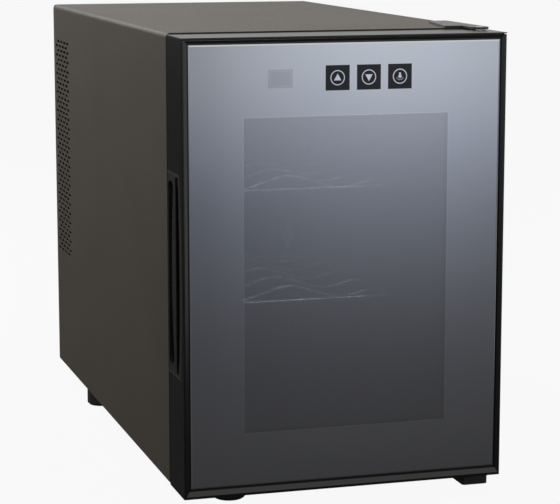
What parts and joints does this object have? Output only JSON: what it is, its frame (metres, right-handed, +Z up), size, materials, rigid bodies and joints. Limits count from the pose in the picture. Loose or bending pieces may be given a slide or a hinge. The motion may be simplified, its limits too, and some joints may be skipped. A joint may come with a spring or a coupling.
{
  "type": "wine cooler",
  "caption": "Compact countertop wine cooler: painted steel cabinet with vented sides, side-hinged glass door with touch keys, wire shelves and a fan-assisted thermoelectric cooling unit.",
  "frame": {"origin": "on the floor, under the middle of the cooler's width and depth", "axes": "+Z up, -Y out of the glass door, +X to the right of someone facing the door"},
  "size_m": [0.252, 0.509, 0.3627],
  "materials": {
    "cabinet_paint": "textured powder coat, satin",
    "galvanised_steel": "matt zinc",
    "foam": "rigid closed-cell foam",
    "liner_plastic": "vacuum-formed, fine grain",
    "aluminium_cast": "extruded, as made",
    "ceramic": "fired alumina, matt",
    "fan_plastic": "moulded, satin",
    "duct_plastic": "moulded, fine grain",
    "screw_steel": "zinc plated",
    "black_screw": "black oxide",
    "circuit_board": "solder mask, semi-gloss",
    "transformer_tape": "polyester tape",
    "capacitor_sleeve": "shrunk sleeve",
    "inlet_plastic": "moulded",
    "brass_blade": "bright",
    "lamp_diffuser": "frosted",
    "shelf_chrome": "bright plated wire",
    "door_plastic": "moulded, satin",
    "smoked_glass": "tempered, half-mirrored coating",
    "clear_glass": "clear float",
    "spacer_black": "glazing spacer",
    "gasket_rubber": "soft extrusion",
    "magnet": "flexible ferrite strip",
    "grip_plastic": "moulded, satin",
    "key_black": "printed behind glass",
    "hinge_paint": "black paint, satin",
    "bush_plastic": "acetal",
    "foot_rubber": "moulded, matt",
    "hinge_steel": "plain"
  },
  "bodies": {
    "cabinet": {"cabinet_shell": "cabinet_paint", "base_plate": "galvanised_steel", "strike_frame": "galvanised_steel", "cabinet_foam": "foam", "inner_liner": "liner_plastic", "bulkhead": "galvanised_steel", "rear_cover": "cabinet_paint", "rear_cover_screws": "black_screw", "hot_heat_sink": "aluminium_cast", "cold_heat_sink": "aluminium_cast", "cold_block": "aluminium_cast", "thermoelectric_module": "ceramic", "exhaust_fan_frame": "fan_plastic", "cold_fan_frame": "fan_plastic", "fan_screws": "screw_steel", "air_duct_cover": "duct_plastic", "temperature_sensor": "bush_plastic", "board_standoffs": "bush_plastic", "power_board": "circuit_board", "board_screws": "screw_steel", "power_transformer": "transformer_tape", "power_capacitors": "capacitor_sleeve", "transistor_heat_sink": "aluminium_cast", "power_inlet": "inlet_plastic", "inlet_blades": "brass_blade", "lamp_lens": "lamp_diffuser", "lamp_board": "circuit_board", "upper_hinge_plate": "hinge_paint", "upper_hinge_pin": "hinge_steel", "upper_hinge_screws": "black_screw", "lower_hinge_block": "hinge_paint", "lower_hinge_pin": "hinge_steel", "base_screws": "screw_steel", "foot_inserts": "screw_steel", "rear_foot_left": "foot_rubber", "rear_foot_right": "foot_rubber"},
    "door": {"door_frame": "door_plastic", "door_glass": "smoked_glass", "glazing_spacer": "spacer_black", "inner_pane": "clear_glass", "door_panel": "liner_plastic", "gasket_magnets": "magnet", "door_gasket": "gasket_rubber", "touch_pads": "key_black", "display_module": "key_black", "control_board": "circuit_board", "door_foam": "foam", "door_grip": "grip_plastic", "grip_screws": "black_screw", "hole_plugs": "door_plastic", "lower_hinge_bush": "bush_plastic", "upper_hinge_bush": "bush_plastic"},
    "cold_fan": {"cold_fan_rotor": "fan_plastic"},
    "exhaust_fan": {"exhaust_fan_rotor": "fan_plastic"},
    "shelf_lower": {"lower_shelf": "shelf_chrome"},
    "shelf_upper": {"upper_shelf": "shelf_chrome"},
    "foot_left": {"front_foot_left": "foot_rubber"},
    "foot_right": {"front_foot_right": "foot_rubber"}
  },
  "joints": [
    {"name": "door_hinge", "type": "hinge", "parent": "cabinet", "child": "door", "pos_m": [0.1155, -0.2245, 0.188], "axis": [0, 0, 1], "range_deg": [0, 115]},
    {"name": "upper_shelf_slide", "type": "slide", "parent": "cabinet", "child": "shelf_upper", "axis": [0, -1, 0], "range_m": [0, 0.08]},
    {"name": "lower_shelf_slide", "type": "slide", "parent": "cabinet", "child": "shelf_lower", "axis": [0, -1, 0], "range_m": [0, 0.08]},
    {"name": "cold_fan_spin", "type": "hinge", "parent": "cabinet", "child": "cold_fan", "pos_m": [0, 0.1154, 0.235], "axis": [0, 1, 0], "continuous": true},
    {"name": "exhaust_fan_spin", "type": "hinge", "parent": "cabinet", "child": "exhaust_fan", "pos_m": [0, 0.223, 0.235], "axis": [0, 1, 0], "continuous": true},
    {"name": "left_foot_turn", "type": "hinge", "parent": "cabinet", "child": "foot_left", "pos_m": [-0.077, -0.1985, 0.02], "axis": [0, 0, 1], "continuous": true},
    {"name": "right_foot_turn", "type": "hinge", "parent": "cabinet", "child": "foot_right", "pos_m": [0.092, -0.1445, 0.02], "axis": [0, 0, 1], "continuous": true}
  ]
}
